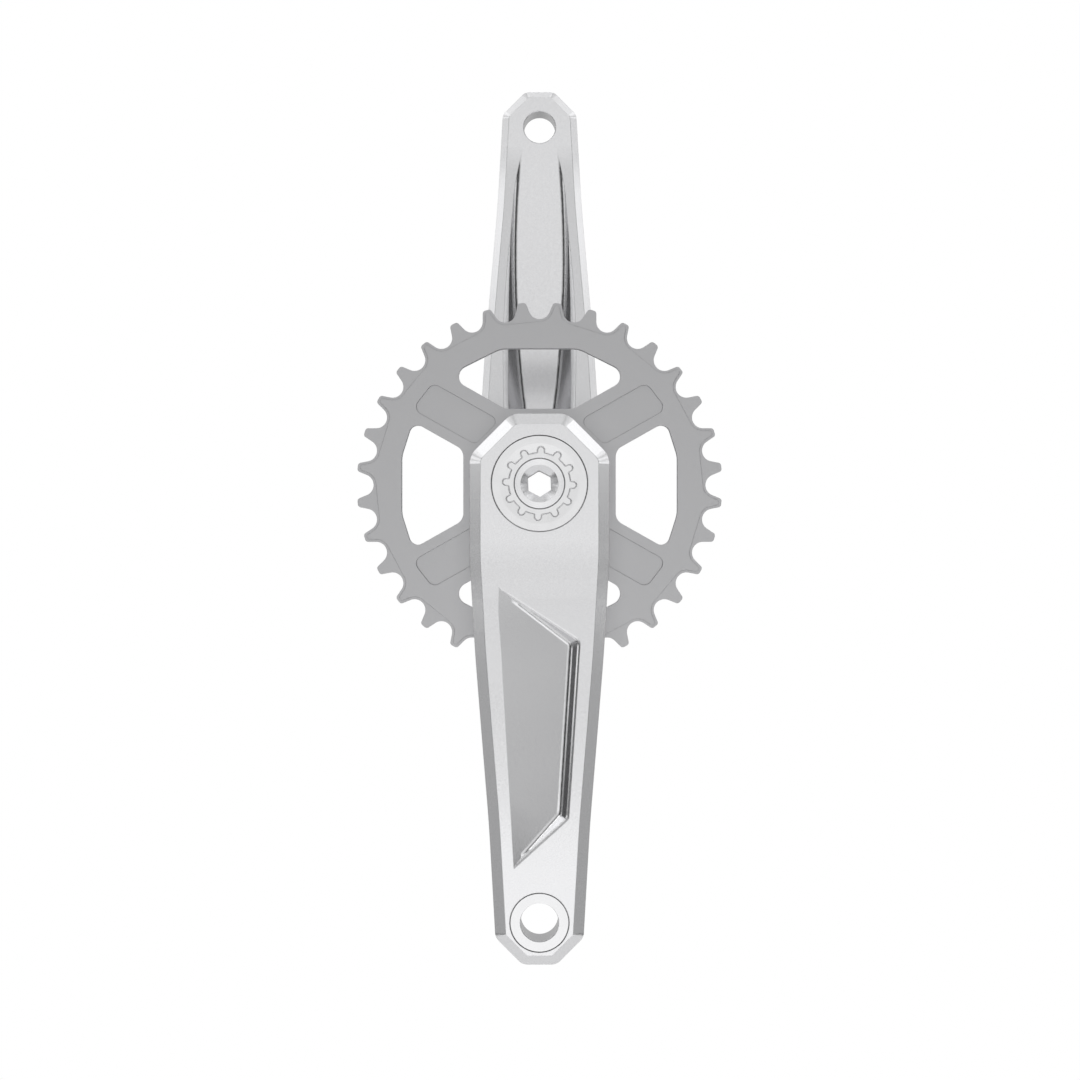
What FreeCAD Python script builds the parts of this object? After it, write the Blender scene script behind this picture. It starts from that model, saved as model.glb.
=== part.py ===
import FreeCAD, Part
import math
import os
from FreeCAD import Vector

# A bicycle crankset: two machined arms on a hollow spindle, with a direct-mount chainring.
# X points forwards, Z points up, and Y points to the non-drive side, which is the far side.
# The origin is where the spindle axis meets the bicycle's centre plane.
# "Out" is the distance from that plane, and "along" is the distance from the spindle axis towards a pedal.

# Whole crankset
crank_length = 155.0
q_factor_width = 170.0

# Arm, seen from its outer side
boss_half_width = 25.0
boss_reach = 25.1
boss_corner = 14.9
boss_corner_radius = 7.5
neck_along = 27.0
neck_radius = 150.0
waist_along = 60.0
waist_half_width = 23.0
waist_radius = 600.0
shin_setback = 34.0
shin_half_width = 17.9
shin_radius = 500.0
end_half_width = 15.65
end_reach = 15.5
end_corner = 9.6
end_corner_radius = 4.5

# Arm, seen from its edge
flare = 8.0
flare_foot = 30.5
flare_foot_run = 10.5
flare_top_setback = 56.0
flare_top_run = 35.8
eye_thickness = 15.5
boss_thickness = 20.0
rib_setback = 17.0
rib_start_radius = 150.0
rib_end = 30.0
rib_radius = 25.0
outer_bevel = 3.9
inner_bevel = 2.8

# Three-cornered pocket in the outer face
pocket_left_top = -15.0
pocket_left_top_along = 36.2
pocket_left_lean = 0.059
pocket_right_top = 14.7
pocket_right_top_along = 55.5
pocket_right_top_radius = 3.2
pocket_right_low = 10.5
pocket_right_low_setback = 36.4
pocket_right_low_radius = 2.6
pocket_low_slope = 0.9
pocket_depth = 4.1
pocket_draft = 0.72
pocket_foot_radius = 1.9
pocket_corner_taper = 0.2
pocket_rim_width = 0.64
pocket_rim_depth = 0.15
pocket_rim_slope = 1.17
pocket_rim_end = 0.58

# Channel in the inner face
channel_floor_half_width = 11.0
channel_floor_bow = 534.0
channel_floor_widest_along = 103.0
channel_mouth_half_width = 17.7
channel_mouth_bow = 421.0
channel_mouth_widest_along = 75.0
channel_start_setback = 8.0
channel_end = 31.0
channel_end_depth = 5.5
channel_foot_radius = 2.3
rim_bevel = 2.15
rim_bevel_start_setback = 45.0
rim_bevel_run = 55.0
rim_bevel_steps = 6

# Pedal holes
pedal_hole_radius = 6.7
pedal_hole_edge = 0.2
pedal_washer_bore_radius = 6.9
pedal_washer_radius = 10.2
pedal_washer_thickness = 1.3
pedal_seat_gap = 0.35

# Spindle
journal_radius = 15.0
journal_relief = 0.3
journal_length = 12.0
spindle_waist_radius = 14.4
spindle_bore_radius = 12.2
spindle_flange_radius = 17.0
spindle_flange_thickness = 3.0
spindle_edge = 0.8
press_gap = 0.01
slide_gap = 0.05
spline_count = 10
spline_radius = 1.6
spline_circle_radius = 15.3

# Crank bolt, its washer and the extractor ring
ring_radius = 16.95
ring_gap = 0.35
ring_seat_depth = 6.5
ring_thickness = 4.0
ring_dish_radius = 14.3
ring_dish_depth = 0.24
tool_recess_depth = 2.4
tool_recess_edge = 0.3
tool_recess_radius = 10.95
tool_lobe_count = 12
tool_lobe_tip_radius = 13.1
tool_lobe_width = 2.3
tool_lobe_turn = -2.6
web_thickness = 3.0
bolt_head_radius = 8.85
bolt_head_gap = 0.35
bolt_head_inset = 2.0
bolt_flange_radius = 14.0
bolt_flange_thickness = 1.7
bolt_washer_thickness = 0.7
bolt_thread_radius = 8.8
bolt_thread_gap = 0.05
bolt_length = 18.0
bolt_bore_radius = 5.0
hex_size = 8.2
hex_turn = 2.4
hex_depth = 11.0
hex_lead_radius = 6.7
hex_lead_depth = 2.6

# Mounting boss for the chainring, on the drive arm
mount_boss_radius = 25.0
mount_boss_thickness = 5.0
spigot_radius = 17.0
spigot_length = 5.0
ring_bolt_circle_radius = 21.2
ring_bolt_count = 3
ring_bolt_first_angle = 90.0
ring_bolt_radius = 2.5
ring_bolt_gap = 0.15
ring_bolt_depth = 9.0
ring_bolt_head_radius = 3.5
ring_bolt_head_height = 2.6
ring_bolt_key_size = 3.0
ring_bolt_key_depth = 1.8

# Chainring
tooth_count = 32
chain_pitch = 12.7
roller_seat_radius = 3.95
tooth_flank_angle = 17.0
tooth_height = 2.2
tooth_tip_rounding = 1.2
tooth_turn = -5.625
plate_thickness = 4.0
tooth_thickness = 2.1
relief_margin = 1.0
hub_radius = 24.8
hub_thickness = 6.0
side_window = ((27.9, 12.9, 4.5), (46.5, 23.4, 3.2), (50.5, 10.7, 10.0))
top_window = ((12.6, 27.9, 6.0), (34.1, 40.1, 4.0), (14.3, 50.0, 10.0))
spoke_angle = 29.4
spoke_pocket = ((24.3, 13.5, 2.5), (52.5, 13.5, 3.0), (54.3, 1.3, 3.0), (27.8, 1.3, 2.5))
spoke_pocket_depth = 0.9

# Rings on the spindle
seal_thickness = 1.5
seal_radius = 16.6
spacer_radius = 16.8
spacer_length = 3.5
collar_radius = 21.5
collar_grips = 18
collar_grip_radius = 2.2
collar_grip_bite = 0.9
collar_slot = 1.6
collar_nose_length = 4.0
collar_gap = 0.3
collar_edge = 0.8
pinch_offset = 19.1
pinch_radius = 1.25
pinch_head_radius = 2.3
pinch_head_length = 2.6
pinch_key_size = 2.0
pinch_key_depth = 1.4
pinch_ear_half_length = 5.4
pinch_ear_half_width = 3.4
pinch_ear_reach = 23.6

# Places worked out from the sizes above
pedal_face_out = q_factor_width / 2
boss_face_out = pedal_face_out - flare
eye_inner_out = pedal_face_out - eye_thickness
boss_inner_out = boss_face_out - boss_thickness
flare_top = crank_length - flare_top_setback
flare_angle = math.atan2(flare, flare_top - flare_foot)
flare_foot_radius = flare_foot_run / math.tan(flare_angle / 2)
flare_top_radius = flare_top_run / math.tan(flare_angle / 2)
rib_start = crank_length - rib_setback
rib_slope = (eye_inner_out - boss_inner_out) / (rib_start - rib_end)
spindle_radius = journal_radius - journal_relief
spindle_drive_end_out = boss_face_out - ring_seat_depth - web_thickness
spigot_end_out = boss_inner_out - spigot_length
journal_outer_out = spigot_end_out - spacer_length - seal_thickness
journal_inner_out = journal_outer_out - journal_length
hub_inner_out = boss_inner_out - hub_thickness
plate_outer_out = hub_inner_out + plate_thickness
bolt_flange_out = boss_face_out - ring_seat_depth + bolt_washer_thickness
bolt_head_out = boss_face_out - bolt_head_inset
channel_mouth_out = boss_inner_out - 2
pitch_radius = chain_pitch / (2 * math.sin(math.pi / tooth_count))
tooth_tip_radius = pitch_radius + tooth_height
margin = 60.0


def drive_side(across, along, out):
    return Vector(across, -out, -along)


def rounded_wire(corners, place, bent=False):
    """Closed outline whose corners (u, v, radius) are rounded by arcs. Sides bend with a bent surface."""
    points = [Vector(u, v, 0) for u, v, radius in corners]
    stops = []
    for i, (u, v, radius) in enumerate(corners):
        corner = points[i]
        back = (points[i - 1] - corner).normalize()
        ahead = (points[(i + 1) % len(points)] - corner).normalize()
        half = back.getAngle(ahead) / 2
        if radius == 0:
            stops.append((corner, None, corner))
            continue
        reach = radius / math.tan(half)
        middle = (back + ahead).normalize() * (radius / math.sin(half) - radius)
        stops.append((corner + back * reach, corner + middle, corner + ahead * reach))
    edges = []
    for i, (start, middle, end) in enumerate(stops):
        following = stops[(i + 1) % len(stops)][0]
        if middle is not None:
            arc = Part.Arc(*[place(point.x, point.y) for point in (start, middle, end)])
            edges.append(arc.toShape())
        if bent:
            run = [end + (following - end) * (i / 4) for i in range(5)]
            side = Part.BSplineCurve()
            side.interpolate([place(point.x, point.y) for point in run])
            edges.append(side.toShape())
        else:
            edges.append(Part.makeLine(place(end.x, end.y), place(following.x, following.y)))
    return Part.Wire(edges)


def mirrored(half):
    return list(half) + [(-u, v, radius) for u, v, radius in reversed(half)]


def offset_corners(corners, distance, growth=1.0):
    """The same outline with each straight side moved outwards, and a share of that added to its roundings."""
    moved = []
    area = sum(a[0] * b[1] - b[0] * a[1] for a, b in zip(corners, corners[1:] + corners[:1]))
    turn = 1 if area > 0 else -1
    for i, (u, v, radius) in enumerate(corners):
        before = corners[i - 1]
        after = corners[(i + 1) % len(corners)]
        first = Vector(v - before[1], before[0] - u, 0).normalize() * turn
        second = Vector(after[1] - v, u - after[0], 0).normalize() * turn
        shift = (first + second) * (distance / (1 + first.dot(second)))
        moved.append((u + shift.x, v + shift.y, max(radius + growth * distance, 0.4) if radius else 0))
    return moved


def round_bar(radius, out_low, out_high, along=0.0, across=0.0):
    start = drive_side(across, along, out_low)
    return Part.makeCylinder(radius, out_high - out_low, start, Vector(0, -1, 0))


def round_cone(radius_low, radius_high, out_low, out_high, along=0.0):
    start = drive_side(0, along, out_low)
    return Part.makeCone(radius_low, radius_high, out_high - out_low, start, Vector(0, -1, 0))


def turned(profile):
    """Solid of revolution about the spindle axis from (radius, out) corners."""
    points = [Vector(radius, -out, 0) for radius, out in profile]
    face = Part.Face(Part.makePolygon(points + points[:1]))
    return face.revolve(Vector(0, 0, 0), Vector(0, 1, 0), 360)


def joined(shapes):
    return shapes[0].multiFuse(shapes[1:]).removeSplitter()


def around(shape, count, first=0.0):
    """Copies of a shape at equal angles about the spindle axis."""
    copies = []
    for i in range(count):
        copy = shape.copy()
        copy.rotate(Vector(0, 0, 0), Vector(0, 1, 0), first + 360.0 * i / count)
        copies.append(copy)
    return copies


def rim_edges(solid, toward):
    """Edges where a face that looks toward a direction meets one that looks sideways."""
    found = []
    for edge in solid.Edges:
        looks = []
        for face in solid.ancestorsOfType(edge, Part.Face):
            u0, u1, v0, v1 = face.ParameterRange
            looks.append(abs(face.normalAt((u0 + u1) / 2, (v0 + v1) / 2).dot(toward)))
            middle = edge.valueAt((edge.FirstParameter + edge.LastParameter) / 2)
        if len(looks) == 2 and max(looks) > 0.9 and min(looks) < 0.75:
            found.append((edge, middle))
    return found


def outer_height(along):
    """How far out the arm's outer face lies: flat, a hollow arc, a straight flare, a crowned arc, flat."""
    if along <= flare_foot - flare_foot_run:
        return boss_face_out
    if along <= flare_foot + flare_foot_run * math.cos(flare_angle):
        run = along - flare_foot + flare_foot_run
        return boss_face_out + flare_foot_radius - math.sqrt(flare_foot_radius ** 2 - run ** 2)
    if along <= flare_top - flare_top_run * math.cos(flare_angle):
        return boss_face_out + (along - flare_foot) * math.tan(flare_angle)
    if along <= flare_top + flare_top_run:
        run = flare_top + flare_top_run - along
        return pedal_face_out - flare_top_radius + math.sqrt(flare_top_radius ** 2 - run ** 2)
    return pedal_face_out


def flare_corners():
    return [
        (-margin, boss_face_out, 0),
        (flare_foot, boss_face_out, flare_foot_radius),
        (flare_top, pedal_face_out, flare_top_radius),
        (crank_length + margin, pedal_face_out, 0),
    ]


def arm_blank():
    """Outline seen from the side of the bicycle, crossed with the profile seen from the edge."""
    outline = mirrored([
        (boss_half_width - boss_corner, -boss_reach, boss_corner_radius),
        (boss_half_width, boss_corner - boss_reach, boss_corner_radius),
        (boss_half_width, neck_along, neck_radius),
        (waist_half_width, waist_along, waist_radius),
        (shin_half_width, crank_length - shin_setback, shin_radius),
        (end_half_width, crank_length + end_reach - end_corner, end_corner_radius),
        (end_half_width - end_corner, crank_length + end_reach, end_corner_radius),
    ])
    profile = flare_corners() + [
        (crank_length + margin, eye_inner_out, 0),
        (rib_start, eye_inner_out, rib_start_radius),
        (rib_end, boss_inner_out, rib_radius),
        (-margin, boss_inner_out, 0),
    ]
    plan = Part.Face(rounded_wire(outline, lambda across, along: drive_side(across, along, 0)))
    plan = plan.extrude(Vector(0, -pedal_face_out - margin, 0))
    edge_on = Part.Face(rounded_wire(profile, lambda along, out: drive_side(-margin, along, out)))
    edge_on = edge_on.extrude(Vector(2 * margin, 0, 0))
    blank = plan.common(edge_on).removeSplitter()
    edges = rim_edges(blank, Vector(0, 1, 0))
    outer = [edge for edge, middle in edges if -middle.y > outer_height(-middle.z) - outer_bevel]
    blank = blank.makeChamfer(outer_bevel, outer)
    edges = rim_edges(blank, Vector(0, 1, 0))
    inner = [edge for edge, middle in edges if -middle.y < eye_inner_out + press_gap]
    return blank.makeChamfer(inner_bevel, inner)


def outer_pocket():
    """Pocket whose floor starts flush at its left side and falls to one depth along its right wall."""
    top_slope = (pocket_right_top_along - pocket_left_top_along) / (pocket_right_top - pocket_left_top)
    low_along = crank_length - pocket_right_low_setback
    right_lean = (pocket_right_low - pocket_right_top) / (low_along - pocket_right_top_along)
    spare = 4.0
    left_top = pocket_left_top - spare
    left_low = pocket_left_top + pocket_left_lean * (low_along - pocket_left_top_along)
    corners = [
        (left_top, pocket_left_top_along - spare * top_slope, 0),
        (pocket_right_top, pocket_right_top_along, pocket_right_top_radius),
        (pocket_right_low, low_along, pocket_right_low_radius),
        (left_low, low_along + (pocket_right_low - left_low) * pocket_low_slope, 0),
    ]

    high = outer_height(pocket_right_top_along)
    lean = (outer_height(low_along) - high) / (low_along - pocket_right_top_along)

    def outline(lift, inset, flat=False):
        def place(across, along):
            level = high + lean * (along - pocket_right_top_along) if flat else outer_height(along)
            return drive_side(across, along, level + lift)
        return rounded_wire(offset_corners(corners, -inset, pocket_corner_taper), place, not flat)

    wall_inset = pocket_rim_width + (pocket_rim_end - pocket_rim_depth) * pocket_rim_slope
    wall_inset -= pocket_rim_end * pocket_draft
    above = 0.75 * pocket_depth
    below = 1.25 * pocket_depth
    walls = Part.makeLoft([
        outline(2 * above, wall_inset - above * pocket_draft, True),
        outline(above, wall_inset - above * pocket_draft),
        outline(-below, wall_inset + below * pocket_draft),
        outline(-2 * below, wall_inset + below * pocket_draft, True),
    ], True, True)

    def floor_side(share):
        def place(along, out):
            left = pocket_left_top + pocket_left_lean * (along - pocket_left_top_along)
            right = pocket_right_top + right_lean * (along - pocket_right_top_along)
            return drive_side(left + (right - left) * share, along, out - pocket_depth * share)

        start = flare_foot - pocket_depth
        stations = [start + (crank_length - start) * i / 8 for i in range(9)]
        floor_line = Part.BSplineCurve()
        floor_line.interpolate([place(along, outer_height(along)) for along in stations])
        over = [place(along, pedal_face_out + margin) for along in (crank_length, start)]
        ends = [floor_line.EndPoint] + over + [floor_line.StartPoint]
        return Part.Wire([floor_line.toShape()] + Part.makePolygon(ends).Edges)

    floor = Part.makeLoft([floor_side(-0.3), floor_side(1.6)], True, True)
    tool = walls.common(floor)
    feet = []
    for edge, middle in rim_edges(tool, Vector(0, 1, 0)):
        if -middle.y < outer_height(-middle.z) - 0.3:
            feet.append(edge)
    tool = tool.makeFillet(pocket_foot_radius, feet)
    rim_reach = pocket_rim_end * pocket_rim_width / pocket_rim_depth
    rim_inset = pocket_rim_width + (2 * pocket_rim_end - pocket_rim_depth) * pocket_rim_slope
    rim = Part.makeLoft([
        outline(2 * above, -rim_reach, True),
        outline(pocket_rim_end, -rim_reach),
        outline(-pocket_rim_depth, pocket_rim_width),
        outline(-2 * pocket_rim_end, rim_inset),
        outline(-pocket_depth, wall_inset + below * pocket_draft, True),
    ], True, True)
    skin_depth = 1.1 * pocket_rim_end
    profile = [(along, out - skin_depth, radius) for along, out, radius in flare_corners()]
    profile += [(crank_length + margin, pedal_face_out + margin, 0), (-margin, pedal_face_out + margin, 0)]
    skin = Part.Face(rounded_wire(profile, lambda along, out: drive_side(-margin, along, out)))
    skin = skin.extrude(Vector(2 * margin, 0, 0))
    return [tool, rim.common(floor).common(skin)]


def channel_half_width(along, out):
    """Half the channel's width: bowed arcs along its floor and its mouth, with straight walls between."""
    floor_run = along - channel_floor_widest_along
    floor = channel_floor_half_width - channel_floor_bow + math.sqrt(channel_floor_bow ** 2 - floor_run ** 2)
    mouth_run = along - channel_mouth_widest_along
    mouth = channel_mouth_half_width - channel_mouth_bow + math.sqrt(channel_mouth_bow ** 2 - mouth_run ** 2)
    share = (eye_inner_out - out) / (eye_inner_out - channel_mouth_out)
    return floor + (mouth - floor) * share


def inner_channel():
    """Bowed channel between the two ribs, level with the pedal eye's inner face, with leaning walls."""
    start = crank_length - channel_start_setback
    stations = (start, (start + channel_end) / 2, channel_end)

    def outline(out):
        right = [drive_side(channel_half_width(along, out), along, out) for along in stations]
        left = [drive_side(-channel_half_width(along, out), along, out) for along in reversed(stations)]
        spread = channel_half_width(channel_end, out) - channel_half_width(channel_end, eye_inner_out)
        end = drive_side(0, channel_end - channel_end_depth - spread, out)
        return Part.Wire([
            Part.Arc(*right).toShape(),
            Part.Arc(right[2], end, left[0]).toShape(),
            Part.Arc(*left).toShape(),
            Part.makeLine(left[2], right[0]),
        ])

    tool = Part.makeLoft([outline(eye_inner_out), outline(channel_mouth_out)], True, True)
    feet = []
    for edge, middle in rim_edges(tool, Vector(0, 1, 0)):
        if abs(-middle.y - eye_inner_out) < 0.01 and abs(middle.z + start) > 0.01:
            feet.append(edge)
    tool = tool.makeFillet(channel_foot_radius, feet)
    bevel = rim_bevel_tool()
    return [tool, bevel, bevel.mirror(Vector(0, 0, 0), Vector(1, 0, 0))]


def rim_bevel_tool():
    """Bevel along one of the channel's rims. It grows quickly at first and then levels off."""
    first = crank_length - rim_bevel_start_setback
    spare = 3.0
    places = []
    for i in range(rim_bevel_steps + 1):
        share = i / rim_bevel_steps
        places.append((first - rim_bevel_run * share, rim_bevel * (1 - (1 - share) ** 2) + 0.03))
    places.append((channel_end + 1, rim_bevel))
    sections = []
    for along, depth in places:
        rim_out = eye_inner_out - (rib_start - along) * rib_slope
        edge = channel_half_width(along, rim_out + depth)
        section = [
            drive_side(edge - spare, along, rim_out + depth + spare),
            drive_side(edge + depth + spare, along, rim_out - spare),
            drive_side(edge - spare, along, rim_out - spare),
        ]
        sections.append(Part.makePolygon(section + section[:1]))
    return Part.makeLoft(sections, True, True)


def arm(hand):
    """Arm body before its spindle bore. Hand is 1 for the drive side and -1 for the other."""
    body = arm_blank()
    for tool in outer_pocket():
        body = body.cut(tool if hand > 0 else tool.mirror(Vector(0, 0, 0), Vector(1, 0, 0)))
    for tool in inner_channel():
        body = body.cut(tool)
    seat = round_bar(pedal_washer_radius + pedal_seat_gap, pedal_face_out - pedal_washer_thickness,
                     pedal_face_out + 1, crank_length)
    hole = round_bar(pedal_hole_radius, eye_inner_out - 1, pedal_face_out + 1, crank_length)
    edge = round_cone(pedal_hole_radius + 2 * pedal_hole_edge, pedal_hole_radius,
                      eye_inner_out - pedal_hole_edge, eye_inner_out + pedal_hole_edge, crank_length)
    for tool in (seat, hole, edge):
        body = body.cut(tool)
    return body


def to_non_drive(shape):
    turned_over = shape.copy()
    turned_over.rotate(Vector(0, 0, 0), Vector(1, 0, 0), 180)
    return turned_over


def drive_arm():
    body = arm(1)
    boss = round_bar(mount_boss_radius, boss_inner_out, boss_inner_out + mount_boss_thickness)
    spigot = round_bar(spigot_radius, spigot_end_out, boss_inner_out + 1)
    body = joined([body, boss, spigot])
    seat_out = boss_face_out - ring_seat_depth
    body = body.cut(round_bar(ring_radius + ring_gap, seat_out, boss_face_out + 1))
    body = body.cut(round_bar(bolt_thread_radius + 0.4, spindle_drive_end_out - 1, boss_face_out + 1))
    bore = round_bar(spindle_radius + slide_gap, spigot_end_out - 1, spindle_drive_end_out)
    spline = round_bar(spline_radius - slide_gap, spigot_end_out - 1, spindle_drive_end_out, 0,
                       spline_circle_radius)
    body = body.cut(bore.cut(Part.makeCompound(around(spline, spline_count))))
    screw = round_bar(ring_bolt_radius, boss_inner_out - 1, boss_inner_out + ring_bolt_depth, 0,
                      ring_bolt_circle_radius)
    return body.cut(Part.makeCompound(around(screw, ring_bolt_count, ring_bolt_first_angle)))


def non_drive_arm():
    nose = round_bar(spigot_radius, boss_inner_out - collar_nose_length, boss_inner_out + 1)
    body = joined([arm(-1), nose])
    body = body.cut(round_bar(spindle_radius + press_gap, 0, boss_face_out + 1))
    seat = round_bar(spindle_flange_radius + press_gap, boss_face_out - spindle_flange_thickness,
                     boss_face_out + 1)
    return to_non_drive(body.cut(seat))


def spindle():
    """Hollow tube along Y: splined at the drive end, flanged at the other, with two bearing seats."""
    far_end = -boss_face_out
    thread_end = spindle_drive_end_out - bolt_length - 2
    step = spindle_bore_radius - bolt_thread_radius
    body = turned([
        (bolt_thread_radius + bolt_thread_gap, spindle_drive_end_out),
        (spindle_radius - spindle_edge, spindle_drive_end_out),
        (spindle_radius, spindle_drive_end_out - spindle_edge),
        (spindle_radius, journal_outer_out),
        (journal_radius, journal_outer_out),
        (journal_radius, journal_inner_out),
        (spindle_waist_radius, journal_inner_out - (journal_radius - spindle_waist_radius)),
        (spindle_waist_radius, (journal_radius - spindle_waist_radius) - journal_inner_out),
        (journal_radius, -journal_inner_out),
        (journal_radius, -journal_outer_out),
        (spindle_radius, -journal_outer_out),
        (spindle_radius, far_end + spindle_flange_thickness),
        (spindle_flange_radius, far_end + spindle_flange_thickness),
        (spindle_flange_radius, far_end),
        (spindle_bore_radius + spindle_edge, far_end),
        (spindle_bore_radius, far_end + spindle_edge),
        (spindle_bore_radius, thread_end - step),
        (bolt_thread_radius + bolt_thread_gap, thread_end),
    ])
    flute = round_bar(spline_radius, spigot_end_out - 0.5, spindle_drive_end_out + 1, 0, spline_circle_radius)
    return body.cut(Part.makeCompound(around(flute, spline_count)))


def hexagon(size, out_low, out_high, across=0.0, turn=0.0):
    corner = size / math.sqrt(3)
    points = []
    for i in range(6):
        angle = math.radians(60 * i + turn)
        points.append(drive_side(across + corner * math.sin(angle), corner * math.cos(angle), out_low))
    return Part.Face(Part.makePolygon(points + points[:1])).extrude(Vector(0, out_low - out_high, 0))


def crank_bolt():
    low = spindle_drive_end_out - bolt_length
    head = round_bar(bolt_head_radius, bolt_flange_out, bolt_head_out)
    flange = round_bar(bolt_flange_radius, bolt_flange_out, bolt_flange_out + bolt_flange_thickness)
    shank = round_bar(bolt_thread_radius, low, bolt_flange_out)
    body = joined([head, flange, shank])
    body = body.cut(hexagon(hex_size, bolt_head_out - hex_depth, bolt_head_out + 1, turn=hex_turn))
    lead = round_cone(hex_size / 2 - 0.4, hex_lead_radius, bolt_head_out - hex_lead_depth, bolt_head_out)
    body = body.cut(lead)
    return body.cut(round_bar(bolt_bore_radius, low - 1, bolt_head_out - hex_depth))


def bolt_washer():
    low = boss_face_out - ring_seat_depth
    body = round_bar(bolt_flange_radius, low, low + bolt_washer_thickness)
    return body.cut(round_bar(bolt_thread_radius + 0.2, low - 1, low + bolt_washer_thickness + 1))


def extractor_ring():
    """Threaded cap flush with the arm, faintly dished, with a lobed tool recess round the bolt's head."""
    low = boss_face_out - ring_thickness
    floor = boss_face_out - tool_recess_depth
    bore_radius = bolt_head_radius + bolt_head_gap
    body = round_bar(ring_radius, low, boss_face_out)
    body = body.cut(round_cone(bore_radius, ring_dish_radius, boss_face_out - ring_dish_depth, boss_face_out))
    recess = round_bar(tool_recess_radius, floor, boss_face_out + 1)
    half = tool_lobe_width / 2
    centre = tool_lobe_tip_radius - half
    tip = round_bar(half, floor, boss_face_out + 1, -centre)
    slot = Part.makeBox(tool_lobe_width, tool_recess_depth + 1, centre,
                        Vector(-half, -boss_face_out - 1, 0))
    lobe = tip.fuse(slot)
    recess = joined([recess] + around(lobe, tool_lobe_count, -tool_lobe_turn))
    body = body.cut(recess)
    rims = []
    for edge, middle in rim_edges(body, Vector(0, 1, 0)):
        reach = math.hypot(middle.x, middle.z)
        in_dish = -middle.y > boss_face_out - ring_dish_depth
        if in_dish and tool_recess_radius - 0.1 < reach < ring_dish_radius:
            rims.append(edge)
    body = body.makeChamfer(tool_recess_edge, rims)
    return body.cut(round_bar(bore_radius, low - 1, boss_face_out + 1))


def pedal_washer():
    low = pedal_face_out - pedal_washer_thickness
    body = round_bar(pedal_washer_radius, low, pedal_face_out, crank_length)
    return body.cut(round_bar(pedal_washer_bore_radius, low - 1, pedal_face_out + 1, crank_length))


def ring_place(u, v):
    return Vector(u, 0, v)


def polar(radius, degrees):
    return Vector(radius * math.cos(math.radians(degrees)), 0, radius * math.sin(math.radians(degrees)))


def turned_by(point, degrees):
    angle = math.radians(degrees)
    return Vector(
        point.x * math.cos(angle) - point.z * math.sin(angle), 0,
        point.x * math.sin(angle) + point.z * math.cos(angle))


def tooth_outline(inset):
    """One side of a tooth on the +X axis, from the roller seat's bottom to the tip, moved in by an inset."""
    step = 180.0 / tooth_count
    centre = polar(pitch_radius, step)
    lean = math.radians(tooth_flank_angle)
    radius = roller_seat_radius + inset
    bottom = centre - polar(radius, step)
    start = centre - Vector(math.sin(lean), 0, math.cos(lean)) * radius
    direction = Vector(math.cos(lean), 0, -math.sin(lean))
    tip_radius = tooth_tip_radius - inset
    corner = start + direction * ((tip_radius - start.x) / direction.x)
    half = (math.radians(90) + lean) / 2
    reach = min(tooth_tip_rounding / math.tan(half), 0.9 * corner.z)
    on_flank = corner - direction * reach
    on_tip = corner - Vector(0, 0, reach)
    bisector = (Vector(0, 0, -1) - direction).normalize()
    on_corner = corner + bisector * reach * math.tan(half) * (1 / math.sin(half) - 1)
    bisector = (start - centre).normalize() + (bottom - centre).normalize()
    on_seat = centre + bisector.normalize() * radius
    return [bottom, on_seat, start, on_flank, on_corner, on_tip]


def toothed_face(inset, every):
    """Outline through every tooth, or through every second one with straight runs under the others."""
    rising = tooth_outline(inset)
    falling = [Vector(point.x, 0, -point.z) for point in rising]
    edges = []
    for i in range(0, tooth_count, every):
        angle = tooth_turn + 360.0 * i / tooth_count
        following = tooth_turn + 360.0 * (i + every) / tooth_count
        a0, a1, a2, a3, a4, a5 = [turned_by(point, angle) for point in falling]
        b0, b1, b2, b3, b4, b5 = [turned_by(point, angle) for point in rising]
        edges.append(Part.Arc(a0, a1, a2).toShape())
        edges.append(Part.makeLine(a2, a3))
        edges.append(Part.Arc(a3, a4, a5).toShape())
        edges.append(Part.makeLine(a5, b5))
        edges.append(Part.Arc(b5, b4, b3).toShape())
        edges.append(Part.makeLine(b3, b2))
        edges.append(Part.Arc(b2, b1, b0).toShape())
        if every > 1:
            edges.append(Part.makeLine(b0, turned_by(falling[0], following)))
    return Part.Face(Part.Wire(edges))


def plate(face, out_low, out_high):
    moved = face.copy()
    moved.translate(Vector(0, -out_low, 0))
    return moved.extrude(Vector(0, out_low - out_high, 0))


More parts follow.
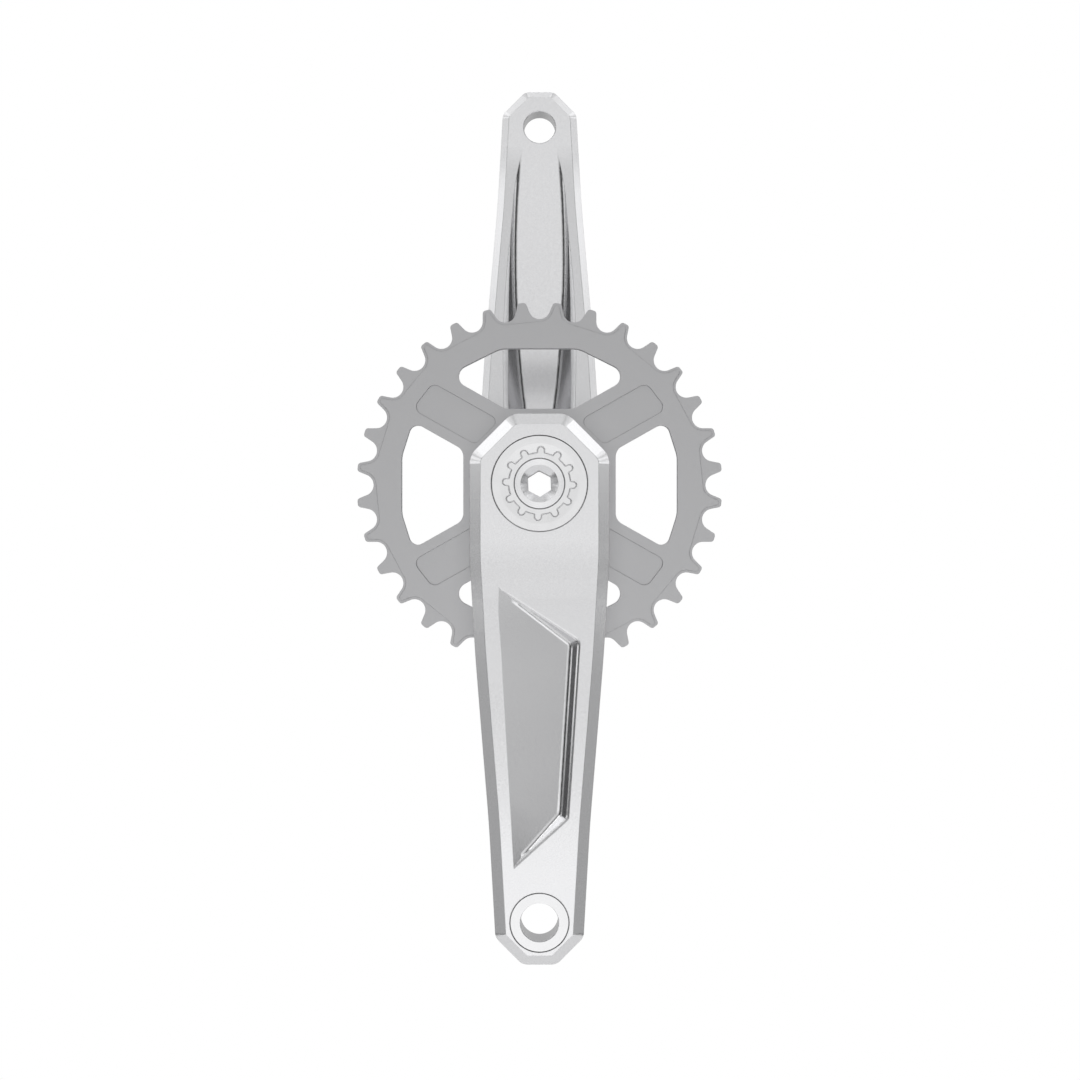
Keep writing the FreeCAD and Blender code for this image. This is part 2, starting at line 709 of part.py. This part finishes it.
def chainring():
    """Toothed plate with a thicker land, four windows, four pocketed spokes and a raised hub."""
    middle_out = plate_outer_out - plate_thickness / 2
    teeth = plate(toothed_face(0, 1), middle_out - tooth_thickness / 2, middle_out + tooth_thickness / 2)
    land = plate(toothed_face(relief_margin, 2), hub_inner_out, plate_outer_out)
    hub = round_bar(hub_radius, plate_outer_out - 1, boss_inner_out)
    body = joined([teeth, land, hub])
    cuts = []
    side = Part.Face(rounded_wire(
        list(side_window) + [(u, -v, radius) for u, v, radius in reversed(side_window)], ring_place))
    top = Part.Face(rounded_wire(mirrored(top_window), ring_place))
    angle = math.radians(spoke_angle)

    def spoke_place(s, t):
        return Vector(s * math.cos(angle) - t * math.sin(angle), 0, s * math.sin(angle) + t * math.cos(angle))

    pocket = plate(Part.Face(rounded_wire(spoke_pocket, spoke_place)),
                   plate_outer_out - spoke_pocket_depth, plate_outer_out + 0.5)
    for window in (side, top):
        cuts.append(plate(window, hub_inner_out - 1, plate_outer_out + 1))
    cuts.append(pocket)
    cuts.append(pocket.mirror(Vector(0, 0, 0), Vector(1, 0, 0)))
    for cut in list(cuts):
        copy = cut.copy()
        copy.rotate(Vector(0, 0, 0), Vector(0, 1, 0), 180)
        cuts.append(copy)
    cuts.append(round_bar(spigot_radius + slide_gap, hub_inner_out - 1, boss_inner_out + 1))
    hole = round_bar(ring_bolt_radius + ring_bolt_gap, hub_inner_out - 1, boss_inner_out + 1, 0,
                     ring_bolt_circle_radius)
    seat = round_bar(ring_bolt_head_radius + ring_bolt_gap, hub_inner_out - 1,
                     hub_inner_out + ring_bolt_head_height, 0, ring_bolt_circle_radius)
    cuts += around(hole, ring_bolt_count, ring_bolt_first_angle)
    cuts += around(seat, ring_bolt_count, ring_bolt_first_angle)
    for cut in cuts:
        body = body.cut(cut)
    return body


def chainring_bolt():
    head_out = hub_inner_out + ring_bolt_head_height
    across = ring_bolt_circle_radius
    head = round_bar(ring_bolt_head_radius, hub_inner_out, head_out, 0, across)
    shank = round_bar(ring_bolt_radius, head_out, boss_inner_out + ring_bolt_depth - 0.5, 0, across)
    body = joined([head, shank])
    key = hexagon(ring_bolt_key_size, hub_inner_out - 1, hub_inner_out + ring_bolt_key_depth, across)
    return body.cut(key)


def plain_ring(radius, out_low, out_high):
    body = round_bar(radius, out_low, out_high)
    return body.cut(round_bar(spindle_radius + slide_gap, out_low - 1, out_high + 1))


def preload_collar():
    """Split ring threaded on the arm's nose, with finger grips and two ears for the pinch screw."""
    low = journal_outer_out + seal_thickness
    high = boss_inner_out - collar_gap
    body = turned([
        (spindle_radius + slide_gap, low),
        (collar_radius - collar_edge, low),
        (collar_radius, low + collar_edge),
        (collar_radius, high - collar_edge),
        (collar_radius - collar_edge, high),
        (spindle_radius + slide_gap, high),
    ])
    grip = round_bar(collar_grip_radius, low - 1, high + 1, 0,
                     collar_radius + collar_grip_radius - collar_grip_bite)
    body = body.cut(Part.makeCompound(around(grip, collar_grips, 180.0 / collar_grips)[1:-1]))
    ear_start = journal_radius + 1
    ear_corner = Vector(ear_start, -(low + high) / 2 - pinch_ear_half_width, -pinch_ear_half_length)
    ear = Part.makeBox(pinch_ear_reach - ear_start, 2 * pinch_ear_half_width, 2 * pinch_ear_half_length,
                       ear_corner)
    body = joined([body, ear])
    nose = round_bar(spigot_radius + slide_gap, boss_inner_out - collar_nose_length - collar_gap, high + 1)
    body = body.cut(nose)
    slot = Part.makeBox(margin, high - low + 2, collar_slot, Vector(0, -high - 1, -collar_slot / 2))
    body = body.cut(slot)
    centre = Vector(pinch_offset + pinch_radius, -(low + high) / 2, 0)
    hole = Part.makeCylinder(pinch_radius + slide_gap, margin, centre - Vector(0, 0, margin / 2))
    seat_low = pinch_ear_half_length - pinch_head_length / 2
    seat = Part.makeCylinder(pinch_head_radius + slide_gap, margin, centre + Vector(0, 0, seat_low))
    return to_non_drive(body.cut(hole).cut(seat))


def collar_screw():
    low = journal_outer_out + seal_thickness
    high = boss_inner_out - collar_gap
    centre = Vector(pinch_offset + pinch_radius, -(low + high) / 2, 0)
    seat_low = pinch_ear_half_length - pinch_head_length / 2
    head = Part.makeCylinder(pinch_head_radius, pinch_head_length, centre + Vector(0, 0, seat_low))
    shank = Part.makeCylinder(pinch_radius, seat_low + pinch_ear_half_length,
                              centre - Vector(0, 0, pinch_ear_half_length))
    body = joined([head, shank])
    corner = pinch_key_size / math.sqrt(3)
    top = centre + Vector(0, 0, seat_low + pinch_head_length)
    points = [
        top + Vector(corner * math.cos(math.radians(60 * i)), corner * math.sin(math.radians(60 * i)), 0)
        for i in range(6)
    ]
    key = Part.Face(Part.makePolygon(points + points[:1])).extrude(Vector(0, 0, -pinch_key_depth))
    return to_non_drive(body.cut(key))


def build():
    seal = plain_ring(seal_radius, journal_outer_out, journal_outer_out + seal_thickness)
    parts = {
        "drive_arm": drive_arm(),
        "non_drive_arm": non_drive_arm(),
        "spindle": spindle(),
        "crank_bolt": crank_bolt(),
        "bolt_washer": bolt_washer(),
        "extractor_ring": extractor_ring(),
        "drive_pedal_washer": pedal_washer(),
        "non_drive_pedal_washer": to_non_drive(pedal_washer()),
        "chainring": chainring(),
        "drive_spacer": plain_ring(spacer_radius, journal_outer_out + seal_thickness, spigot_end_out),
        "drive_seal_ring": seal,
        "non_drive_seal_ring": to_non_drive(seal),
        "preload_collar": preload_collar(),
        "collar_screw": collar_screw(),
    }
    bolts = around(chainring_bolt(), ring_bolt_count, ring_bolt_first_angle)
    for number, bolt in enumerate(bolts, 1):
        parts["chainring_bolt_%d" % number] = bolt
    return parts


os.makedirs("parts", exist_ok=True)
for name, shape in build().items():
    box = shape.BoundBox
    spans = [round(v, 2) for v in (box.XMin, box.YMin, box.ZMin, box.XMax, box.YMax, box.ZMax)]
    print(name, shape.isValid(), len(shape.Solids), "solid", round(shape.Volume / 1000, 2), "cm3", spans)
    shape.exportStep("parts/%s.step" % name)
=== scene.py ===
import math

import bpy
import numpy as np
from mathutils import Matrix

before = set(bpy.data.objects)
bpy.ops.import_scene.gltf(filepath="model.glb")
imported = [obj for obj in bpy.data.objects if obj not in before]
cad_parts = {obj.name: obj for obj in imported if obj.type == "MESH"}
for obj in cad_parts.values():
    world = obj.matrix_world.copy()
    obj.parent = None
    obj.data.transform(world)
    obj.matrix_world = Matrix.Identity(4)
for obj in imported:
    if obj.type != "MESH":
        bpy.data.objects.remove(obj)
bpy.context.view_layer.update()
print("frame loaded:", len(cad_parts), "nodes")


def linearColour(hexText):
    # sRGB hex to linear: divide by 12.92 in the toe, otherwise shift, scale and raise to 2.4
    parts = [int(hexText[i:i + 2], 16) / 255 for i in (1, 3, 5)]
    return [c / 12.92 if c <= 0.04045 else ((c + 0.055) / 1.055) ** 2.4 for c in parts] + [1.0]


def addNode(tree, kind, settings=None, links=None):
    # one node: settings are attributes or socket values, links are socket name to source socket
    node = tree.nodes.new(kind)
    for key, value in (settings or {}).items():
        if isinstance(key, str) and hasattr(node, key):
            setattr(node, key, value)
        else:
            node.inputs[key].default_value = value
    for key, source in (links or {}).items():
        tree.links.new(source, node.inputs[key])
    return node


def startMaterial(name):
    material = bpy.data.materials.new(name)
    material.use_nodes = True
    material.node_tree.nodes.clear()
    return material, material.node_tree


def finishMaterial(material, tree, colour, metallic, roughness, normal, extra=None, tangent=None):
    # principled surface; colour, normal and tangent are sockets, and roughness is a socket or a number
    settings = {"Metallic": metallic}
    links = {"Base Color": colour, "Normal": normal}
    if isinstance(roughness, float):
        settings["Roughness"] = roughness
    else:
        links["Roughness"] = roughness
    settings.update(extra or {})
    if tangent:
        links["Tangent"] = tangent
    shader = addNode(tree, "ShaderNodeBsdfPrincipled", settings, links)
    addNode(tree, "ShaderNodeOutputMaterial", links={"Surface": shader.outputs["BSDF"]})
    return material


def mixedColour(tree, factor, first, second):
    mix = addNode(tree, "ShaderNodeMix", {"data_type": "RGBA"}, {0: factor})
    mix.inputs[6].default_value = linearColour(first)
    mix.inputs[7].default_value = linearColour(second)
    return mix.outputs[2]


# Painted shade in narrow gaps: an open surface keeps its colour, and walls close to each other turn dark
gapPaintedShade = {"colour": "#3C3C3F", "reachMm": 0.7, "openness": (0.2, 0.65)}


def gapShade(tree, colour):
    # ambient occlusion measures how open the surface is, and the colour is darkened where it is closed in:
    # painted shade
    reach = gapPaintedShade["reachMm"] / 1000
    near = addNode(tree, "ShaderNodeAmbientOcclusion", {"samples": 6, "Distance": reach})
    tight, free = gapPaintedShade["openness"]
    share = addNode(tree, "ShaderNodeMapRange", {"From Min": tight, "From Max": free},
                    {"Value": near.outputs["AO"]})
    mix = addNode(tree, "ShaderNodeMix", {"data_type": "RGBA"}, {0: share.outputs["Result"], 7: colour})
    mix.inputs[6].default_value = linearColour(gapPaintedShade["colour"])
    return mix.outputs[2]


def spreadOver(tree, noise, low, high):
    # a noise's values lie mostly between 0.3 and 0.7, and are spread over low to high
    settings = {"From Min": 0.3, "From Max": 0.7, "To Min": low, "To Max": high}
    spread = addNode(tree, "ShaderNodeMapRange", settings, {"Value": noise.outputs["Fac"]})
    return spread.outputs["Result"]


def bumpedNormal(tree, noise, heightMm, edgeMm):
    # the noise as bumps, over edges that the shading rounds off
    edge = addNode(tree, "ShaderNodeBevel", {"samples": 4, "Radius": edgeMm / 1000})
    bump = addNode(tree, "ShaderNodeBump", {"Strength": 1.0, "Distance": heightMm / 1000},
                   {"Height": noise.outputs["Fac"], "Normal": edge.outputs["Normal"]})
    return bump.outputs["Normal"]


# Bead-blasted, clear anodised aluminium: a soft satin sheen with a fine even grain.
# The real grain is about 0.1 mm and is drawn at about 0.45 mm.
blastedArm = {
    "light": "#F2F2F3",
    "dark": "#D6D6D8",
    "roughness": (0.18, 0.22),
    "grainMm": 0.45,
    "grainHeightMm": 0.007,
    "edgeMm": 0.35,
}


def blastedAluminium(name, settings):
    material, tree = startMaterial(name)
    place = addNode(tree, "ShaderNodeTexCoord").outputs["Object"]
    grain = addNode(tree, "ShaderNodeTexNoise", {"Scale": 1000 / settings["grainMm"], "Detail": 2.0,
                                                 "Roughness": 0.6}, {"Vector": place})
    colour = mixedColour(tree, grain.outputs["Fac"], settings["dark"], settings["light"])
    rough = spreadOver(tree, grain, *settings["roughness"])
    normal = bumpedNormal(tree, grain, settings["grainHeightMm"], settings["edgeMm"])
    # the colour carries painted shade in narrow gaps
    return finishMaterial(material, tree, gapShade(tree, colour), 1.0, rough, normal)


# Turned metal: fine concentric tool lines round the piece's axis, and a faint stain.
# Real feed lines are about 0.1 mm apart and are drawn at about 0.35 mm.
# The bolt's lines also spread its highlights across them, by its stretch.
turnedCap = {"light": "#EEEEEF", "dark": "#E5E5E6", "roughness": (0.18, 0.22), "pitchMm": 0.35,
             "lineHeightMm": 0.0015, "edgeMm": 0.2, "stainMm": 5.5, "stretch": 0.0}
turnedBolt = {"light": "#F6F6F7", "dark": "#ECECEE", "roughness": (0.22, 0.27), "pitchMm": 0.3,
              "lineHeightMm": 0.002, "edgeMm": 0.2, "stainMm": 5.5, "stretch": 0.65}
turnedWasher = {"light": "#EBEBEC", "dark": "#E3E3E4", "roughness": (0.18, 0.22), "pitchMm": 0.3,
                "lineHeightMm": 0.0012, "edgeMm": 0.15, "stainMm": 5.5, "stretch": 0.0}
turnedSpindle = {"light": "#8F9093", "dark": "#77787C", "roughness": (0.26, 0.36), "pitchMm": 0.5,
                 "lineHeightMm": 0.006, "edgeMm": 0.2, "stainMm": 5.5, "stretch": 0.0}
turnedSpacer = {"light": "#B9BABD", "dark": "#A6A7AB", "roughness": (0.22, 0.32), "pitchMm": 0.3,
                "lineHeightMm": 0.005, "edgeMm": 0.15, "stainMm": 5.5, "stretch": 0.0}


def turnedMetal(name, settings, nodeName):
    # tool lines: noise read along the distance from the axis plus the distance along it; the axis runs
    # along Y through the middle of the piece's bounding box
    corners = np.array(bpy.data.objects[nodeName].bound_box)
    middle = (corners.min(axis=0) + corners.max(axis=0)) / 2
    material, tree = startMaterial(name)
    place = addNode(tree, "ShaderNodeTexCoord").outputs["Object"]
    moved = addNode(tree, "ShaderNodeMapping", {"Location": (-middle[0], 0.0, -middle[2])},
                    {"Vector": place})
    split = addNode(tree, "ShaderNodeSeparateXYZ", links={"Vector": moved.outputs["Vector"]})
    flat = addNode(tree, "ShaderNodeCombineXYZ", links={"X": split.outputs["X"], "Z": split.outputs["Z"]})
    radius = addNode(tree, "ShaderNodeVectorMath", {"operation": "LENGTH"}, {0: flat.outputs["Vector"]})
    along = addNode(tree, "ShaderNodeMath", {"operation": "ADD"},
                    {0: radius.outputs["Value"], 1: split.outputs["Y"]})
    lines = addNode(tree, "ShaderNodeTexNoise",
                    {"noise_dimensions": "1D", "Scale": 1000 / settings["pitchMm"], "Detail": 2.0},
                    {"W": along.outputs[0]})
    stain = addNode(tree, "ShaderNodeTexNoise", {"Scale": 1000 / settings["stainMm"], "Detail": 3.0},
                    {"Vector": place})
    colour = mixedColour(tree, stain.outputs["Fac"], settings["dark"], settings["light"])
    rough = spreadOver(tree, lines, *settings["roughness"])
    normal = bumpedNormal(tree, lines, settings["lineHeightMm"], settings["edgeMm"])
    # the tangent runs round the axis, and a quarter turn makes the highlights spread away from it
    tangent = addNode(tree, "ShaderNodeTangent", {"direction_type": "RADIAL", "axis": "Y"})
    spread = {"Anisotropic": settings["stretch"], "Anisotropic Rotation": 0.25}
    # the colour carries painted shade in narrow gaps
    return finishMaterial(material, tree, gapShade(tree, colour), 1.0, rough, normal, spread,
                          tangent.outputs["Tangent"])


# Bead-blasted aluminium with a grey dye under the anodised skin: duller and darker than the arms
blastedRing = {
    "light": "#CACACB",
    "dark": "#C3C3C5",
    "roughness": (0.36, 0.42),
    "grainMm": 0.45,
    "grainHeightMm": 0.004,
    "edgeMm": 0.2,
}
blastedCollar = dict(blastedRing, light="#8D8E91", dark="#808185", roughness=(0.3, 0.4), edgeMm=0.3)

# Black-oxided steel screws: a dark, slightly oily satin
oxidedScrew = {"light": "#55565A", "dark": "#3E3F43", "roughness": 0.34, "grainMm": 0.4,
               "grainHeightMm": 0.01, "edgeMm": 0.15}

# Moulded nitrile rubber: near black, with a soft broad highlight and a faint mould texture
mouldedSeal = {"light": "#26272A", "dark": "#1B1C1E", "roughness": 0.62, "grainMm": 0.35,
               "grainHeightMm": 0.01, "edgeMm": 0.3}


def grainyPiece(name, settings, metallic):
    material, tree = startMaterial(name)
    place = addNode(tree, "ShaderNodeTexCoord").outputs["Object"]
    grain = addNode(tree, "ShaderNodeTexNoise", {"Scale": 1000 / settings["grainMm"], "Detail": 3.0},
                    {"Vector": place})
    colour = mixedColour(tree, grain.outputs["Fac"], settings["dark"], settings["light"])
    normal = bumpedNormal(tree, grain, settings["grainHeightMm"], settings["edgeMm"])
    return finishMaterial(material, tree, colour, metallic, settings["roughness"], normal)


armFinish = blastedAluminium("blastedAnodisedAluminium", blastedArm)
finishes = {
    "drive_arm": armFinish,
    "non_drive_arm": armFinish,
    "chainring": blastedAluminium("greyBlastedAluminium", blastedRing),
    "preload_collar": blastedAluminium("greyBlastedCollar", blastedCollar),
    "collar_screw": grainyPiece("oxidedScrewSteel", oxidedScrew, 1.0),
    "drive_seal_ring": grainyPiece("mouldedRubber", mouldedSeal, 0.0),
}
turnedPieces = {
    "extractor_ring": ("turnedAnodisedCap", turnedCap),
    "crank_bolt": ("turnedAnodisedBolt", turnedBolt),
    "drive_pedal_washer": ("turnedStainlessWasherLow", turnedWasher),
    "non_drive_pedal_washer": ("turnedStainlessWasherHigh", turnedWasher),
    "spindle": ("hardAnodisedSpindle", turnedSpindle),
    "drive_spacer": ("turnedSpacer", turnedSpacer),
    "bolt_washer": ("turnedBoltWasher", turnedSpacer),
}
for nodeName, (finishName, settings) in turnedPieces.items():
    finishes[nodeName] = turnedMetal(finishName, settings, nodeName)
finishes["non_drive_seal_ring"] = finishes["drive_seal_ring"]
for number in (1, 2, 3):
    finishes["chainring_bolt_%d" % number] = finishes["collar_screw"]

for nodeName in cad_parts:
    piece = bpy.data.objects[nodeName]
    piece.data.materials.clear()
    piece.data.materials.append(finishes[nodeName])
print("finishes given to", len(finishes), "pieces")

# Studio: a pale floor well below the crankset, and soft boxes drawn in the world light.
# A box is placed by its angle round from the camera's side, the same to the left and the right, and by
# its height above the horizon, all in degrees.
studio = {
    "floorHeight": -0.62,
    "floorRadius": 1.0,
    "floorColour": "#F8F8F8",
    "floorFade": (0.35, 0.97),  # shares of the radius where the floor starts and ends turning white
    "floorRings": 12,
    "floorSpokes": 96,
    "base": 0.07,
    "boxes": [
        # from the camera's side, low to high: the arms' broad faces
        {"round": (0, 5), "up": (-24, -12), "fade": (9, 9), "light": 1.44},
        {"round": (0, 5), "up": (-5, 0), "fade": (9, 6), "light": 1.14},
        {"round": (0, 5), "up": (5, 9), "fade": (9, 5), "light": 0.88},
        {"round": (0, 5), "up": (13, 22), "fade": (9, 7), "light": 0.86},
        {"round": (0, 5), "up": (30, 50), "fade": (9, 12), "light": 0.60},
        {"round": (14, 18), "up": (-18, -8), "fade": (8, 10), "light": 1.35},
        {"round": (14, 18), "up": (0, 8), "fade": (8, 8), "light": 0.78},
        {"round": (14, 18), "up": (16, 26), "fade": (8, 10), "light": 0.50},
        # between the front and the sides: the pocket's slanted end and its steep wall
        {"round": (38, 56), "up": (-38, -14), "fade": (10, 8), "light": 0.55},
        {"round": (42, 58), "up": (38, 50), "fade": (10, 10), "light": 1.90},
        {"round": (64, 68), "up": (-12, 6), "fade": (5, 12), "light": 0.50},
        # from the sides, low to high: the bevels
        {"round": (84, 100), "up": (-16, -2), "fade": (12, 8), "light": 0.49},
        {"round": (78, 100), "up": (5, 11), "fade": (12, 4), "light": 1.40},
        {"round": (78, 104), "up": (18, 24), "fade": (12, 6), "light": 1.40},
        {"round": (76, 104), "up": (34, 46), "fade": (12, 8), "light": 1.35},
        # from behind: the far sides, the walls of the pedal holes and the floor
        {"round": (122, 152), "up": (-26, 36), "fade": (12, 12), "light": 0.75},
        {"round": (145, 180), "up": (-10, 50), "fade": (20, 15), "light": 0.50},
        {"round": (145, 180), "up": (55, 68), "fade": (14, 8), "light": 1.90},
        # all round and overhead
        {"round": (0, 180), "up": (52, 62), "fade": (10, 10), "light": 0.94},
        {"round": (0, 180), "up": (74, 90), "fade": (10, 10), "light": 0.90},
    ],
}


def shareInside(tree, angle, limits, fade):
    # 1 between the limits, and smooth to 0 over the fade outside them, all in degrees
    low, high = map(math.radians, limits)
    half = (high - low) / 2
    away = addNode(tree, "ShaderNodeMath", {"operation": "SUBTRACT", 1: low + half}, {0: angle.outputs[0]})
    away = addNode(tree, "ShaderNodeMath", {"operation": "ABSOLUTE"}, {0: away.outputs[0]})
    settings = {"interpolation_type": "SMOOTHSTEP", "From Min": half, "From Max": half + math.radians(fade),
                "To Min": 1.0, "To Max": 0.0}
    return addNode(tree, "ShaderNodeMapRange", settings, {"Value": away.outputs[0]}).outputs["Result"]


def lightWorld(settings):
    # the light from a direction is a base level plus each box's light, by its share round and up
    world = bpy.data.worlds.new("softStudio")
    bpy.context.scene.world = world
    world.use_nodes = True
    tree = world.node_tree
    tree.nodes.clear()
    direction = addNode(tree, "ShaderNodeTexCoord").outputs["Generated"]
    split = addNode(tree, "ShaderNodeSeparateXYZ", links={"Vector": direction})
    sideways = addNode(tree, "ShaderNodeMath", {"operation": "ABSOLUTE"}, {0: split.outputs["X"]})
    forward = addNode(tree, "ShaderNodeMath", {"operation": "MULTIPLY", 1: -1.0}, {0: split.outputs["Y"]})
    around = addNode(tree, "ShaderNodeMath", {"operation": "ARCTAN2"},
                     {0: sideways.outputs[0], 1: forward.outputs[0]})
    height = addNode(tree, "ShaderNodeMath", {"operation": "ARCSINE"}, {0: split.outputs["Z"]})
    total = addNode(tree, "ShaderNodeValue")
    total.outputs[0].default_value = settings["base"]
    level = total.outputs[0]
    for box in settings["boxes"]:
        roundShare = shareInside(tree, around, box["round"], box["fade"][0])
        upShare = shareInside(tree, height, box["up"], box["fade"][1])
        share = addNode(tree, "ShaderNodeMath", {"operation": "MULTIPLY"}, {0: roundShare, 1: upShare})
        level = addNode(tree, "ShaderNodeMath", {"operation": "MULTIPLY_ADD", 1: box["light"]},
                        {0: share.outputs[0], 2: level}).outputs[0]
    seen = addNode(tree, "ShaderNodeLightPath").outputs["Is Camera Ray"]
    light = addNode(tree, "ShaderNodeBackground", links={"Strength": level})
    white = addNode(tree, "ShaderNodeBackground", {"Strength": 1.0, "Color": (1.0, 1.0, 1.0, 1.0)})
    mixed = addNode(tree, "ShaderNodeMixShader",
                    links={0: seen, 1: light.outputs[0], 2: white.outputs[0]})
    addNode(tree, "ShaderNodeOutputWorld", links={"Surface": mixed.outputs[0]})


def layFloor(settings):
    # a disc of rings and spokes, radius times cosine and sine of the angle
    rings = np.linspace(0.0, settings["floorRadius"], settings["floorRings"] + 1)[1:]
    angles = np.linspace(0.0, 2 * np.pi, settings["floorSpokes"] + 1)[:-1]
    r, a = np.meshgrid(rings, angles, indexing="ij")
    verts = np.stack([r * np.cos(a), r * np.sin(a), np.full_like(r, settings["floorHeight"])], axis=-1)
    verts = np.vstack([[[0.0, 0.0, settings["floorHeight"]]], verts.reshape(-1, 3)])
    count = len(angles)
    here = np.arange(count)
    following = (here + 1) % count
    faces = [[0, 1 + i, 1 + j] for i, j in zip(here.tolist(), following.tolist())]
    for ring in range(len(rings) - 1):
        low = 1 + ring * count
        high = low + count
        quad = np.stack([low + here, high + here, high + following, low + following], axis=-1)
        faces += quad.tolist()
    mesh = bpy.data.meshes.new("floor")
    mesh.from_pydata(verts.tolist(), [], faces)
    mesh.update()
    floor = bpy.data.objects.new("floor", mesh)
    bpy.context.scene.collection.objects.link(floor)
    material, tree = startMaterial("mattPaintedFloor")
    place = addNode(tree, "ShaderNodeTexCoord").outputs["Object"]
    flat = addNode(tree, "ShaderNodeMapping", {"Scale": (1.0, 1.0, 0.0)}, {"Vector": place})
    reach = addNode(tree, "ShaderNodeVectorMath", {"operation": "LENGTH"}, {0: flat.outputs["Vector"]})
    start, end = (share * settings["floorRadius"] for share in settings["floorFade"])
    fade = addNode(tree, "ShaderNodeMapRange", {"interpolation_type": "SMOOTHSTEP", "From Min": start,
                                                "From Max": end}, {"Value": reach.outputs["Value"]})
    seen = addNode(tree, "ShaderNodeLightPath").outputs["Is Camera Ray"]
    white = addNode(tree, "ShaderNodeMath", {"operation": "MULTIPLY"},
                    {0: seen, 1: fade.outputs["Result"]})
    paint = addNode(tree, "ShaderNodeBsdfDiffuse", {"Color": linearColour(settings["floorColour"])})
    glow = addNode(tree, "ShaderNodeEmission", {"Color": (1.0, 1.0, 1.0, 1.0), "Strength": 1.0})
    mixed = addNode(tree, "ShaderNodeMixShader",
                    links={0: white.outputs[0], 1: paint.outputs[0], 2: glow.outputs[0]})
    addNode(tree, "ShaderNodeOutputMaterial", links={"Surface": mixed.outputs[0]})
    mesh.materials.append(material)


lightWorld(studio)
layFloor(studio)
print("studio set")

# The camera looks level along +Y, with the spindle a little above the middle of the picture
view = {"place": (0.00018, -0.8403, -0.02015), "lens": 71.467, "sensor": 36.0, "nearest": 0.02}
cameraData = bpy.data.cameras.new("photoCamera")
cameraData.lens = view["lens"]
cameraData.sensor_width = view["sensor"]
cameraData.sensor_fit = "HORIZONTAL"
cameraData.clip_start = view["nearest"]
camera = bpy.data.objects.new("photoCamera", cameraData)
camera.location = view["place"]
camera.rotation_euler = (math.radians(90), 0.0, 0.0)
bpy.context.scene.collection.objects.link(camera)
bpy.context.scene.camera = camera
bpy.context.scene.view_settings.view_transform = "Standard"
print("camera set")
